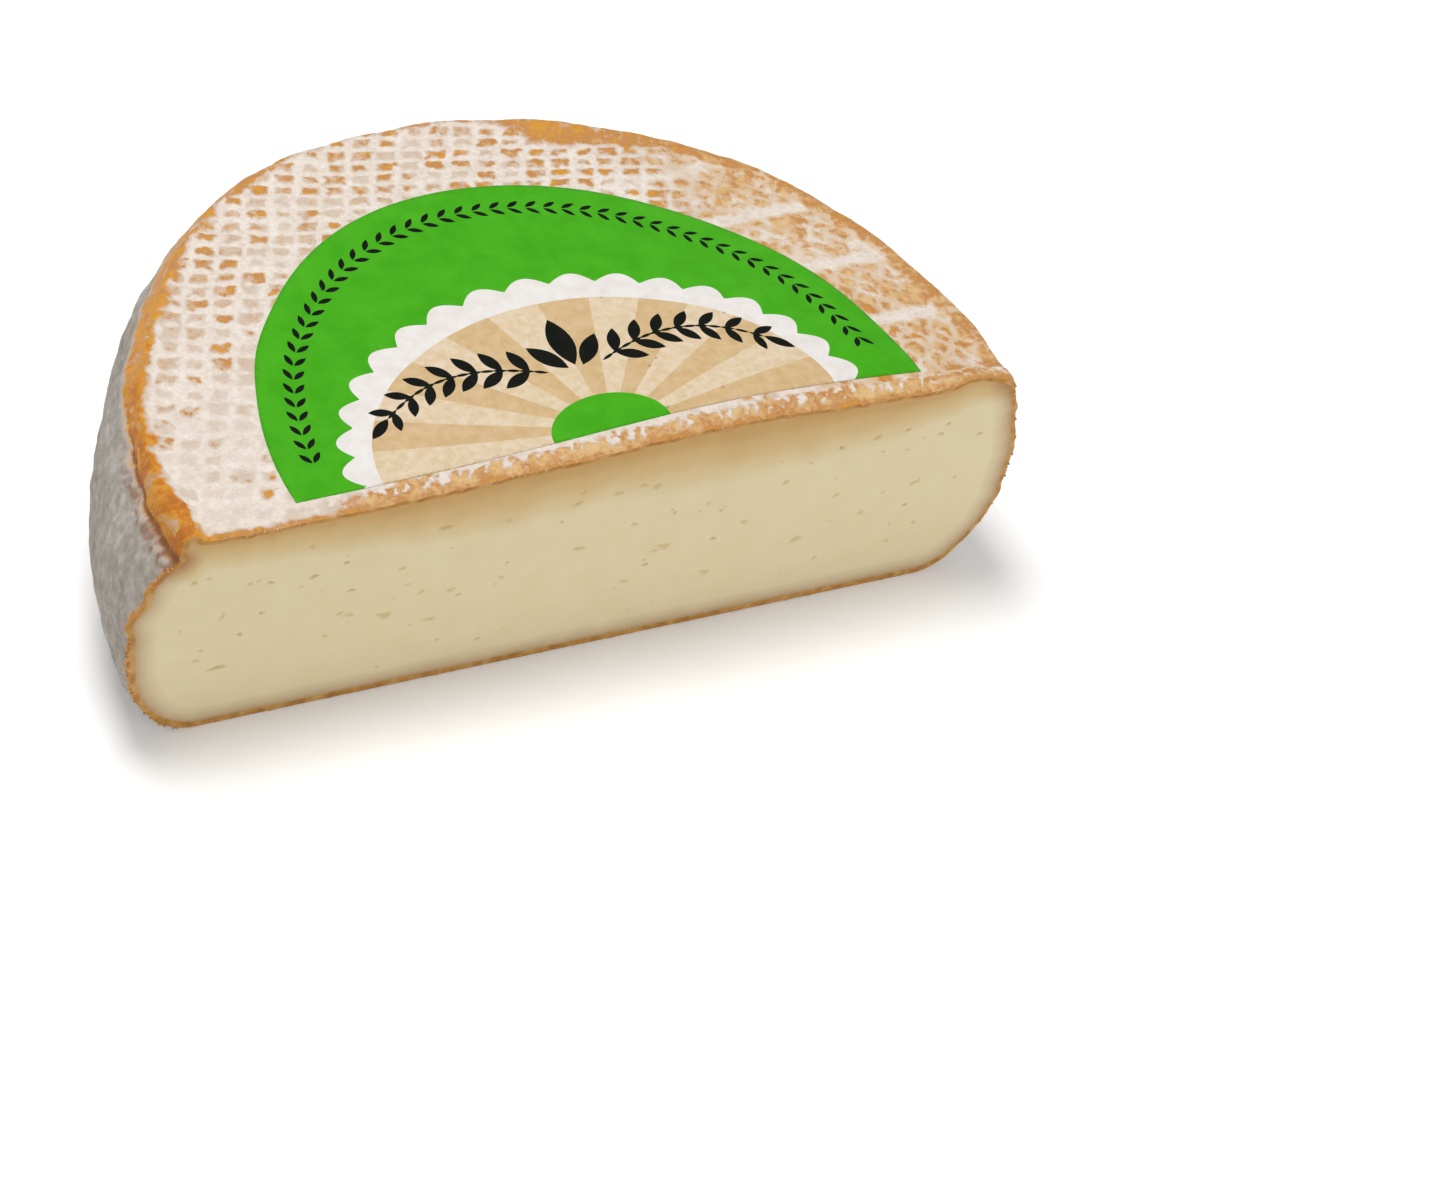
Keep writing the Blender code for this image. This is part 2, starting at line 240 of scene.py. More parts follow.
def chance(*numbers):
    """A repeatable random number from 0 to 1 for each set of whole numbers."""
    mixed = sum(number * step for number, step in zip(numbers, (12.9898, 78.233, 37.719)))
    return np.mod(np.sin(mixed) * 43758.5453, 1.0)


# The wheel's surface

def make_profile():
    """Arrays of arc length from the axis, radius and height, down to the rim of the base."""
    points = [(0.0, TOP_HEIGHT), *SHOULDER_RINGS]
    steepest = math.asin((UPPER_START - WIDEST_HEIGHT) / UPPER_SEMI_HEIGHT)
    for angle in np.linspace(steepest, 0.0, 40):
        radius = WIDEST_RADIUS - UPPER_SEMI_DEPTH * (1.0 - math.cos(angle))
        points.append((radius, WIDEST_HEIGHT + UPPER_SEMI_HEIGHT * math.sin(angle)))
    for angle in np.linspace(0.0, math.pi / 2, 40)[1:]:
        radius = BASE_RADIUS + (WIDEST_RADIUS - BASE_RADIUS) * math.cos(angle)
        points.append((radius, WIDEST_HEIGHT * (1.0 - math.sin(angle))))
    points = np.array(points)
    lengths = np.concatenate([[0.0], np.cumsum(np.hypot(*np.diff(points, axis=0).T))])
    steps = np.arange(0.0, lengths[-1], 0.2)
    rounded = []
    for column in points.T:
        even = np.interp(steps, lengths, column)
        padded = np.concatenate([np.full(5, even[0]), even, np.full(5, even[-1])])
        softened = np.convolve(padded, np.ones(11) / 11, mode="valid")
        keep = smooth(lengths[-1] - 6.0, lengths[-1] - 2.0, steps)
        rounded.append(softened * (1.0 - keep) + even * keep)
    rounded[0][:20] = steps[:20]
    return steps, rounded[0], rounded[1]


LENGTHS, RADII, HEIGHTS = make_profile()
WHOLE_LENGTH = LENGTHS[-1]
SHOULDER_LENGTH = LENGTHS[np.argmin(np.abs(RADII[LENGTHS < 110.0] - 92.8))]


def dome(x, y):
    """How far the top stands above TOP_HEIGHT."""
    offset = np.hypot(x - DOME_PLACE[0], y - DOME_PLACE[1])
    edge = np.minimum(np.hypot(x, y / DEPTH_STRETCH) / DOME_EDGE, 1.0)
    lift = BACK_LIFT * smooth(0.0, BACK_LIFT_TO, y)
    return DOME_HEIGHT * bell(offset, DOME_WIDTH) * (1.0 - edge**8) + lift


def lip_lift(x, y):
    """How far the top stands up near the knife's edge."""
    return np.interp(x, LIP_X, LIP_LIFT) * (1.0 - smooth(0.0, LIP_WIDTH, y - CUT_Y))


def on_wheel(sheet):
    """Places on the plain wheel of a flat sheet's points, whose distance from 0 is arc length."""
    length = np.hypot(*sheet.T)
    angle = np.arctan2(sheet[:, 1], sheet[:, 0])
    radius = np.interp(length, LENGTHS, RADII)
    height = np.interp(length, LENGTHS, HEIGHTS)
    along, across = np.cos(angle), np.sin(angle) * DEPTH_STRETCH
    rise = dome(radius * along, radius * across) * smooth(WIDEST_HEIGHT, SHOULDER_HEIGHT - 1.0, height)
    reach = radius + outline_shift(radius, height, wheel_angle(sheet))
    rise += lip_lift(reach * along, reach * across) * smooth(44.0, 54.0, height)
    return np.stack([reach * along, reach * across, height + rise], axis=1)


def outline_shift(radius, height, degrees):
    """How far outside the solid's plain outline the rind stands."""
    rim = np.interp(degrees, SHIFT_ANGLES, RIM_SHIFT)
    heel = np.interp(degrees, HEEL_ANGLES, HEEL_SHIFT) * (1.0 - smooth(*HEEL_HEIGHTS, height))
    return np.where(height < HEEL_HEIGHTS[1], rim + heel, (rim + heel) * smooth(*SHIFT_RADII, radius))


def wheel_normals(sheet):
    step = 0.05
    offsets = np.array([(step, 0), (-step, 0), (0, step), (0, -step)])
    sides = [on_wheel(sheet + offset) for offset in offsets]
    normals = np.cross(sides[0] - sides[1], sides[2] - sides[3])
    return normals / np.linalg.norm(normals, axis=1)[:, None]


def label_shift(x, y):
    """How far out the label's edge bulges at the angle of each point."""
    degrees = np.degrees(np.arctan2(y - LABEL_CENTRE[1], x - LABEL_CENTRE[0]))
    degrees = np.where(degrees < -90.0, degrees + 360.0, degrees)
    return sum(most * bell(degrees - middle, width) for middle, most, width in LABEL_BULGES)


def label_distance(x, y):
    """How far inside the label's outline a point lies; negative outside it."""
    inside_arc = LABEL_RADIUS + label_shift(x, y) - np.hypot(x - LABEL_CENTRE[0], y - LABEL_CENTRE[1])
    (x0, y0), (x1, y1) = LABEL_EDGE
    along = np.array([x1 - x0, y1 - y0]) / math.hypot(x1 - x0, y1 - y0)
    inside_edge = (y - y0) * along[0] - (x - x0) * along[1]
    return np.minimum(inside_arc, inside_edge)


def solid_relief(places, radius, angle):
    """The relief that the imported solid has: lumps, dimples, crust roll, ridge, split and crumb."""
    heel = 1.0 - smooth(SHOULDER_HEIGHT - 4.0, SHOULDER_HEIGHT, places[:, 2])
    amount = LUMP_HEIGHT * ripple(places, LUMP_LENGTH)
    amount += DIMPLE_HEIGHT * heel * ripple(places, DIMPLE_LENGTH)
    crust = bell(radius - CRUST_RADIUS, CRUST_WIDTH) * (1.0 - heel)
    amount += CRUST_HEIGHT * crust * ripple(places, CRUST_LENGTH)
    ridge = ridge_share(angle)
    amount += RIDGE_HEIGHT * ridge * (1.0 - heel) * bell(radius - RIDGE_RADIUS, RIDGE_WIDTH)
    amount -= SPLIT_DEPTH * ridge * bell(places[:, 2] - SPLIT_HEIGHT, SPLIT_WIDTH) * heel
    crumb = np.linalg.norm(places - np.array(CRUMB_PLACE), axis=1)
    return amount + CRUMB_HEIGHT * bell(crumb, CRUMB_WIDTH)


def ridge_share(angle):
    start, end = RIDGE_ANGLES
    return smooth(start - 4.0, start + 4.0, angle) * (1.0 - smooth(end, end + 4.0, angle))


# The rind's pattern

def lattice(x, y, turn, pitch, warp):
    """Distance to the nearest thread in millimetres, and the whole numbers of the cell."""
    cosine, sine = math.cos(math.radians(turn)), math.sin(math.radians(turn))
    across = (x * cosine + y * sine + warp[0]) / pitch[0]
    along = (y * cosine - x * sine + warp[1]) / pitch[1]
    gap_across = np.abs(across - np.round(across)) * pitch[0]
    gap_along = np.abs(along - np.round(along)) * pitch[1]
    return np.minimum(gap_across, gap_along), np.floor(across), np.floor(along)


class RindPoints:
    """The rind's points, with what its pattern depends on."""

    def __init__(self, places, radius, angle):
        self.places, self.radius, self.angle = places, radius, angle
        self.x, self.y, self.z = places.T
        self.cut_gap = np.maximum(self.y - CUT_Y, 0.0)
        self.rough = self.ripple(5.0, 1.0)
        self.fine = self.ripple(1.5, 3.0)
        self.worn = smooth(*WORN_X, self.x + 5.0 * self.rough)

    def ripple(self, length, shift):
        return ripple(self.places, length, shift)


def left_net(rind):
    """How bare the crust is where the cloth left square cells, and the gap to its threads."""
    x, y = rind.x, rind.y
    warp = [0.9 * rind.ripple(17.0, shift) + 0.35 * rind.ripple(4.0, shift) for shift in (3.1, 8.4)]
    warp = (warp[0] - NET_SHEAR * y, warp[1] + NET_CROWDING * y * y)
    thread, column, row = lattice(x, y, NET_TURN, NET_PITCH, warp)
    draw = chance(column, row)
    patch = rind.ripple(24.0, 5.5)
    more = 0.14 * smooth(35.0, 65.0, y) + 0.3 * smooth(-15.0, 22.0, x)
    opened = smooth(0.5, 0.95, draw + 0.5 * patch + more)
    faint = 0.1 + 0.26 * smooth(20.0, 60.0, y) + 0.32 * chance(row, column)
    size = NET_THREAD + 0.8 * chance(column, row, 3.0)
    inside = smooth(size - 0.4, size + 0.8, thread + 1.1 * rind.ripple(1.7, 2.0))
    eaten = 0.2 + 0.8 * smooth(-0.25, 0.45, rind.ripple(1.8, 6.6) + 0.4 * rind.ripple(0.6, 1.9))
    return inside * (faint + 0.68 * opened * eaten), thread


def right_net(rind):
    """The same where the cloth was crumpled and most of the bloom is rubbed off."""
    x, y = rind.x, rind.y
    warp = [2.2 * rind.ripple(7.0, shift) + 1.0 * rind.ripple(2.6, shift) for shift in (1.7, 6.3)]
    fuzz = 0.6 * rind.ripple(1.2, 4.0)
    thread, column, row = lattice(x, y, FINE_TURN, FINE_PITCH, warp)
    broad, _, _ = lattice(x, y, NET_TURN, NET_PITCH, warp)
    fine_line = (1.0 - smooth(0.2, 1.4, thread + fuzz)) * smooth(-0.5, 0.1, rind.ripple(7.0, 9.1))
    broad_line = (1.0 - smooth(0.2, 1.2, broad + fuzz)) * smooth(-0.1, 0.4, rind.ripple(9.0, 2.9))
    cloud = 0.16 * smooth(0.0, 0.55, rind.ripple(5.0, 3.6))
    cell = 0.3 * chance(column, row)
    bare = 1.0 - 0.5 * fine_line - 0.3 * broad_line - cloud - cell
    return np.clip(bare, 0.12, 1.0), np.minimum(thread, broad)


def bars(rind):
    """How white the bars make the top at each point, from 0 to 1."""
    x, y = rind.x, rind.y
    turn = math.radians(BAR_TURN)
    level = y * math.cos(turn) - x * math.sin(turn) + 9.0
    rough = 0.5 * rind.ripple(3.5, 2.2) + 0.7 * rind.ripple(1.1, 7.7)
    gaps = [np.abs(level - bar + 0.5 * rough) - BAR_HALF_WIDTH + rough for bar in BARS_Y]
    white = [most * (1.0 - smooth(-1.2, 0.9, gap)) for most, gap in zip(BAR_STRENGTHS, gaps)]
    return np.max(white, axis=0) * smooth(5.0, 25.0, x) * smooth(10.0, 18.0, y + 0.1 * x)


def top_cover(rind):
    """How bare the top is, the gap to its threads, and the threads that stray onto the rim."""
    left_bare, left_thread = left_net(rind)
    right_bare, right_thread = right_net(rind)
    bare = blend(rind.worn, left_bare, right_bare) * (1.0 - bars(rind))
    stray = 1.0 - smooth(0.1, 1.0, right_thread + 0.6 * rind.fine)
    stray *= smooth(-0.1, 0.4, rind.ripple(6.0, 4.1))
    return bare, blend(rind.worn, left_thread, right_thread), stray


def top_tone(rind):
    """The tone of the bare crust in the top's cells."""
    tone = 0.56 - 0.17 * rind.worn + 0.12 * smooth(0.25, 0.5, rind.ripple(4.0, 7.2))
    return tone + 0.14 * rind.worn * smooth(0.0, 0.5, rind.ripple(2.6, 5.2))


def rim_crust(rind, stray):
    """Where the rim's crust is, how golden it is, its pale marks that are partly painted highlights, and
    how bare it is.
    """
    angles, widths, golds = zip(*RIM_CRUST)
    start = RIM_RADIUS - np.interp(rind.angle, angles, widths) + 1.7 * rind.rough + rind.fine
    rim = smooth(-1.2, 1.2, rind.radius - start)
    gold = np.interp(rind.angle, angles, golds)
    golden = smooth(0.6, 0.78, gold)
    # Pale marks on the golden rim: partly paler crust with bloom, partly painted highlights
    flecks_and_highlights = smooth(0.2, 0.5, ripple(rind.places * (1.0, 0.6, 1.0), 1.9, 6.0)) * golden
    bare = rim * (1.0 - 0.3 * flecks_and_highlights) * (1.0 - 0.55 * stray * (1.0 - golden))
    return rim, gold, flecks_and_highlights, bare


def knife_band(rind):
    """Where the bare band along the knife's edge is, and the white flakes on it."""
    width = BAND_WIDTH + 1.2 * rind.ripple(6.0, 4.4) + 0.9 * rind.fine
    band = 1.0 - smooth(-0.8, 0.5, rind.cut_gap - width)
    band *= smooth(*BAND_X, rind.x + 6.0 * rind.rough)
    band *= smooth(SHOULDER_HEIGHT - 6.0, SHOULDER_HEIGHT - 1.0, rind.z)
    x, y = rind.x, rind.y
    drips = np.column_stack([0.91 * x - 0.41 * y, 0.4 * (0.41 * x + 0.91 * y), rind.z])
    flaked = ripple(drips, 1.3, 8.8) + 0.35 * rind.ripple(0.8, 1.1) + 0.08 * (rind.cut_gap - 3.0)
    return band, smooth(0.1, 0.3, flaked) * smooth(0.9, 2.2, rind.cut_gap)


def heel_cover(rind):
    """Where the heel's grey is, partly grey bloom and partly painted shade, and how bare the crust is in
    it.
    """
    heel = 1.0 - smooth(-1.5, 1.5, rind.z - GREY_TOP - rind.rough - 0.6 * rind.fine)
    bare = smooth(0.3, 0.6, rind.ripple(19.0, 2.9) + 0.35 * rind.rough)
    bare *= (1.0 - ridge_share(rind.angle)) * (1.0 - 0.9 * smooth(120.0, 150.0, rind.angle))
    return heel, 0.05 + 0.55 * bare


def split_and_stain(rind):
    """How dark the split under the raised crust and the stain below it are."""
    level = rind.z - SPLIT_HEIGHT - 0.7 * rind.rough
    width = np.interp(rind.angle, (158.0, 170.0, 182.0), (0.4, 0.65, 1.0))
    split = bell(level, width) * smooth(158.0, 166.0, rind.angle) * smooth(-0.9, -0.3, rind.fine)
    stain = bell(level + 2.4, 1.7) * smooth(160.0, 172.0, rind.angle)
    stain *= smooth(-0.4, 0.2, rind.fine + 0.5 * rind.rough)
    return np.clip(split + 0.75 * stain, 0.0, 1.0)


def rind_pattern(rind):
    """Named arrays from 0 to 1 that colour and shape the rind, and the gap to its threads."""
    bare, thread, stray = top_cover(rind)
    rim, gold, flecks_and_highlights, rim_bare = rim_crust(rind, stray)
    band, flakes = knife_band(rind)
    heel, heel_bare = heel_cover(rind)
    bare = blend(band, np.maximum(bare, rim_bare), 1.0 - 0.95 * flakes)
    bare = blend(heel, bare, heel_bare)
    edge = smooth(0.6 - 0.2 * heel, 2.0 - 0.8 * heel, rind.cut_gap + 0.7 * rind.fine)
    # The rim's pale marks, partly painted highlights, make its crust paler
    tone = blend(rim, top_tone(rind), gold) - 0.34 * rim * flecks_and_highlights
    tone = blend(band, tone, 0.41 + 0.12 * (1.0 - smooth(0.3, 1.4, rind.cut_gap)))
    return {
        "bare": np.clip(np.maximum(bare, 1.0 - edge), 0.0, 1.0),
        "tone": np.clip(blend(heel, tone, 0.6), 0.0, 1.0),
        "heel": heel,
        "worn": rind.worn,
        "dark": split_and_stain(rind),
        "thread": thread,
        "on_top": (1.0 - rim) * (1.0 - heel) * (1.0 - band),
        "rim": rim,
        "band": band,
        "flakes": band * flakes,
        "crumbled": 0.35 + 0.65 * smooth(140.0, 165.0, rind.angle),
    }


def fine_relief(rind, pattern):
    """Relief finer than the solid's: threads, crust grain, crumbling edge and heel wrinkles."""
    free = 1.0 - smooth(-1.0, 0.3, label_distance(rind.x, rind.y)) * (rind.z > 50.0)
    groove = 1.0 - smooth(0.2, 1.3, pattern["thread"])
    amount = (0.10 * rind.ripple(1.4, 2.5) - 0.22 * groove) * pattern["on_top"]
    grain = 0.45 * rind.ripple(3.2, 5.0) + 0.22 * rind.ripple(1.3, 6.0)
    amount += pattern["rim"] * (1.0 - pattern["heel"]) * pattern["crumbled"] * grain
    amount += pattern["band"] * (0.16 * rind.ripple(1.5, 7.0) + 0.25 * rind.ripple(3.0, 8.0))
    amount += pattern["heel"] * (0.34 * rind.ripple(4.6, 9.0) + 0.16 * rind.ripple(2.0, 1.5))
    amount += 0.3 * pattern["flakes"] - 0.4 * pattern["dark"]
    amount -= bell(rind.cut_gap, 1.5) * smooth(2.0, 6.0, rind.z) * (0.6 + 0.35 * rind.ripple(3.0, 3.3))
    return amount * free * smooth(0.2, 5.0, rind.z)


# Points and triangles

def cut_sheet_height(length):
    """In the flat sheet, the second coordinate of the knife's line at this arc length, as a sine."""
    radius = np.interp(length, LENGTHS, RADII)
    return np.clip(CUT_Y / np.maximum(radius * DEPTH_STRETCH, 1e-6), -1.0, 1.0)


def sheet_boundary():
    """The rind sheet's outline: along the cut from right to left, then round the base's rim."""
    start = -CUT_Y / DEPTH_STRETCH
    lengths = np.concatenate([np.linspace(WHOLE_LENGTH, start + 0.5, 360), [start + 0.12]])
    sines = cut_sheet_height(lengths)
    cosines = np.sqrt(1.0 - sines**2)
    right = np.stack([lengths * cosines, lengths * sines], axis=1)
    left = right[::-1] * (-1.0, 1.0)
    middle = np.array([[0.0, -start]])
    first = math.atan2(right[0, 1], right[0, 0])
    turns = np.linspace(math.pi - first, first, 241)[1:-1]
    return np.concatenate([right, middle, left]), WHOLE_LENGTH * directions(turns)


def hexagonal(low, high, step, random):
    """Points of a jittered triangular grid that fills a rectangle."""
    rows = np.arange(low[1], high[1], step * ROW_SHARE)
    columns = np.arange(low[0], high[0], step)
    grid_x, grid_y = np.meshgrid(columns, rows)
    grid_x = grid_x + 0.5 * step * (np.arange(len(rows)) % 2)[:, None]
    points = np.stack([grid_x.ravel(), grid_y.ravel()], axis=1)
    return points + random.uniform(-JITTER, JITTER, points.shape) * step


def graded_points(low, high, steps, wanted, random):
    """Points spaced by wanted(points), which gives one of the steps, or 0 for no point."""
    kept = []
    for step in steps:
        points = hexagonal(low, high, step, random)
        kept.append(points[np.isclose(wanted(points), step)])
    return np.concatenate(kept)


def triangles(outline, inner):
    """Triangles inside a closed outline, as indices into its points and then the inner ones."""
    points = [Vector(point) for point in np.concatenate([outline, inner])]
    loop = list(range(len(outline)))
    result = geometry.delaunay_2d_cdt(points, [], [loop], 1, 1e-7)
    source = np.array([origins[0] for origins in result[3]])
    return wound_left(np.concatenate([outline, inner]), source[np.array(result[2])])


def wound_left(flat, faces):
    """The same triangles, all wound anticlockwise in the plane."""
    first, second, third = (flat[faces[:, corner]] for corner in range(3))
    one, other = second - first, third - first
    clockwise = one[:, 0] * other[:, 1] - one[:, 1] * other[:, 0] < 0.0
    return np.where(clockwise[:, None], faces[:, ::-1], faces)


def rind_spacing(points):
    """The step that the rind needs at each point, or 0 outside its outline."""
    length = np.hypot(*points.T)
    places = on_wheel(points)
    gap = places[:, 1] - CUT_Y
    spacing = np.where(length > SHOULDER_LENGTH + 9.0, HEEL_STEP, TOP_STEP)
    spacing = np.where(length > SHOULDER_LENGTH + 40.0, FOOT_STEP, spacing)
    covered = (label_distance(places[:, 0], places[:, 1]) > 2.0) & (length < 90.0)
    spacing = np.where(covered, HIDDEN_STEP, spacing)
    spacing = np.where(gap < 4.5, TOP_STEP, spacing)
    inside = (gap > 0.3) & (length < WHOLE_LENGTH - 0.6 * spacing)
    return np.where(inside, spacing, 0.0)


def distance_to_line(points, line):
    """Each point's distance to the nearest point of a closely sampled line."""
    found = []
    for some in np.array_split(points, 40):
        offsets = some[:, None] - line[None]
        found.append(np.sqrt((offsets**2).sum(2)).min(1))
    return np.concatenate(found)


def all_eyes():
    """The listed eyes and scattered pinholes: X, height, half width, half height and depth."""
    random = np.random.default_rng(SEED)
    eyes = [(*eye, max(EYE_DEPTH * eye[2], EYE_LEAST_DEPTH)) for eye in EYES]
    for _ in range(PINHOLES):
        size = random.uniform(0.25, 0.6)
        place = random.uniform((-90.0, 6.0), (90.0, 51.0))
        eyes.append((*place, size * random.uniform(1.0, 1.9), size * 0.8, size * random.uniform(0.5, 0.9)))
    return eyes


def eye_share(points, eye):
    """How far out in an eye each point is: 0 in its middle, 1 on its uneven edge."""
    x, height, wide, high, _ = eye
    across, up = (points[:, 0] - x) / wide, (points[:, 1] - height) / high
    turn = np.arctan2(up, across)
    wobble = 0.24 * np.sin(2 * turn + x) + 0.2 * np.sin(3 * turn + 1.7 * height)
    wobble += 0.1 * np.sin(5 * turn - x)
    return np.hypot(across, up) / (1.0 + wobble)


def cut_spacing(points, outline, eyes):
    """The step that the cut face needs at each point, or 0 outside its outline."""
    depth = distance_to_line(points, outline)
    spacing = np.where(depth < 2.6, EDGE_STEP, PASTE_STEP)
    for x, height, wide, high, _ in eyes:
        near = np.hypot(points[:, 0] - x, points[:, 1] - height) < 1.5 * max(wide, high) + 0.4
        spacing = np.where(near, EYE_STEP, spacing)
    return np.where(inside_outline(points, outline) & (depth > 0.25), spacing, 0.0)


def inside_outline(points, outline):
    """True for points inside a closed outline, by counting the edges crossed going right."""
    inside = np.zeros(len(points), bool)
    for (x0, y0), (x1, y1) in zip(outline, np.roll(outline, -1, axis=0)):
        if y0 == y1:
            continue
        crosses = (y0 > points[:, 1]) != (y1 > points[:, 1])
        inside ^= crosses & (points[:, 0] < (x1 - x0) * (points[:, 1] - y0) / (y1 - y0) + x0)
    return inside


def wheel_angle(places):
    """Degrees round the wheel, from -90 to 270, with the cut's ends near 0 and 180."""
    return (np.degrees(np.arctan2(places[:, 1], places[:, 0])) + 90.0) % 360.0 - 90.0


def foot_waves(places):
    reach = np.hypot(*places[:, :2].T)
    foot = (1.0 - smooth(0.5, 6.0, places[:, 2])) * smooth(50.0, BASE_RADIUS, reach)
    outward = places * (1.0, 1.0, 0.0) / np.maximum(reach, 1.0)[:, None]
    return outward * (FOOT_WAVE * foot * ripple(places, FOOT_LENGTH))[:, None]


def make_rind():
    """The rind's points, triangles and pattern, and how many points its cut and outline have."""
    random = np.random.default_rng(SEED)
    along_cut, foot = sheet_boundary()
    outline = np.concatenate([along_cut, foot])
    steps = (TOP_STEP, HEEL_STEP, FOOT_STEP, HIDDEN_STEP)
    inner = graded_points(outline.min(0), outline.max(0) + 1.0, steps, rind_spacing, random)
    sheet = np.concatenate([outline, inner])
    places = on_wheel(sheet)
    rind = RindPoints(places, np.interp(np.hypot(*sheet.T), LENGTHS, RADII), wheel_angle(sheet))
    pattern = rind_pattern(rind)
    covered = smooth(-6.0, -1.0, label_distance(rind.x, rind.y)) * (rind.z > 53.7)
    amount = solid_relief(places, rind.radius, rind.angle) * smooth(0.5, 6.0, rind.z) * (1.0 - covered)
    amount += fine_relief(rind, pattern)
    moved = places + wheel_normals(sheet) * amount[:, None] + foot_waves(places)
    moved[:, 1] = np.maximum(moved[:, 1], CUT_Y + 0.08 * np.minimum(rind.cut_gap, 1.0))
    moved[: len(along_cut), 1] = CUT_Y
    moved[:, 2] = np.maximum(moved[:, 2], 0.0)
    moved[len(along_cut) : len(outline), 2] = 0.0
    moved[[0, len(along_cut) - 1], 2] = 0.0
    return moved, triangles(outline, inner), pattern, len(along_cut), len(outline)


def eye_fields(flat, eyes):
    """How deep the eyes are at each point of the cut, and where painted shade lies in them."""
    pit, shade = np.zeros(len(flat)), np.zeros(len(flat))
    for eye in eyes:
        share = eye_share(flat, eye)
        pit = np.maximum(pit, eye[4] * np.clip(1.0 - share**2, 0.0, 1.0))
        # Painted shade: full in the middle of each eye, fading out just past its edge
        shade = np.maximum(shade, 1.0 - smooth(0.4, 1.1, share))
    return pit, shade


def cut_waver(points, depth):
    crag = bell(depth - 0.7, 0.7) * smooth(0.0, 0.4, depth)
    push = 0.12 * ripple(points, 11.0, 6.0) - crag * (0.15 + 0.30 * ripple(points, 2.1, 4.0))
    push += 0.03 * ripple(points * (0.35, 1.0, 1.0), 1.6, 2.0)
    push += 0.07 * ripple(points * (0.45, 1.0, 1.0), 3.4, 5.0)
    return np.where(depth > 0.0, push * smooth(0.0, 0.5, depth), 0.0)


def cut_colouring(flat, points, outline, depth):
    """Distances into the paste that its colours go by."""
    on_top = (outline[:, 1] > 50.0) & (np.abs(outline[:, 0]) < 93.0)
    zone = np.interp(flat[:, 0], ZONE_X, ZONE_DEPTHS) * (1.0 + 0.08 * ripple(points, 9.0, 2.0))
    skin = 0.7 + 0.9 * (1.0 - smooth(2.0, 7.0, flat[:, 1]))
    skin += 0.45 * smooth(84.0, 94.0, -flat[:, 0]) + 0.35 * smooth(84.0, 94.0, flat[:, 0])
    return {
        "zone": distance_to_line(flat, outline[on_top]) / zone,
        "side": distance_to_line(flat, outline[~on_top]),
        "skin": depth / skin,
    }


def make_cut_face(edge):
    """The cut face's points and triangles, how many points its foot has, and what colours it."""
    random = np.random.default_rng(SEED + 1)
    foot_x = np.arange(edge[-1, 0] + BASE_STEP, edge[0, 0] - 0.5 * BASE_STEP, BASE_STEP)
    outline = np.concatenate([edge, np.stack([foot_x, np.zeros(len(foot_x))], axis=1)])
    eyes = all_eyes()

    def wanted(points):
        return cut_spacing(points, outline, eyes)

    steps = (EYE_STEP, EDGE_STEP, PASTE_STEP)
    inner = graded_points(outline.min(0), outline.max(0), steps, wanted, random)
    flat = np.concatenate([outline, inner])
    depth = distance_to_line(flat, outline)
    depth[: len(outline)] = 0.0
    pit, shade = eye_fields(flat, eyes)
    points = np.stack([flat[:, 0], np.zeros(len(flat)), flat[:, 1]], axis=1)
    points[:, 1] = CUT_Y + cut_waver(points, depth) + pit * (depth > 0.3)
    # The eye layer carries the painted shade in the eyes' hollows
    colouring = {**cut_colouring(flat, points, outline, depth), "eye": shade}
    return points, triangles(outline, inner), len(foot_x), colouring


def move_to_part(points):
    """Millimetres about the wheel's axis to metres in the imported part's frame."""
    axis_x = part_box("label")[0].x - (LABEL_CENTRE[0] - LABEL_RADIUS) * MM
    axis_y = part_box("cheese")[0].y - CUT_Y * MM
    return points * MM + np.array([axis_x, axis_y, 0.0])


def new_mesh_object(name, points, faces, materials):
    mesh = bpy.data.meshes.new(name)
    mesh.from_pydata(points.tolist(), [], np.asarray(faces).tolist())
    for material in materials:
        mesh.materials.append(material)
    item = bpy.data.objects.new(name, mesh)
    bpy.context.scene.collection.objects.link(item)
    return item


def store(mesh, **layers):
    for name, values in layers.items():
        layer = mesh.attributes.new(name, "FLOAT", "POINT")
        layer.data.foreach_set("value", np.full(len(mesh.vertices), values, np.float32))


def sharpen_between_materials(mesh):
    """Shade smooth, but keep the edges sharp where the two materials meet."""
    mesh.shade_smooth()
    kinds = np.empty(len(mesh.polygons), np.int32)
    mesh.polygons.foreach_get("material_index", kinds)
    edges = np.empty(len(mesh.loops), np.int32)
    mesh.loops.foreach_get("edge_index", edges)
    mesh.edges.foreach_set("use_edge_sharp", np.bincount(edges, np.repeat(kinds, 3)) == 1)


def crumb_shape():
    """A small round lump: points on a sphere, and its triangles."""
    form = bmesh.new()
    bmesh.ops.create_icosphere(form, subdivisions=1, radius=1.0)
    points = np.array([tuple(vertex.co) for vertex in form.verts])
    faces = np.array([[vertex.index for vertex in face.verts] for face in form.faces])
    form.free()
    return points, faces


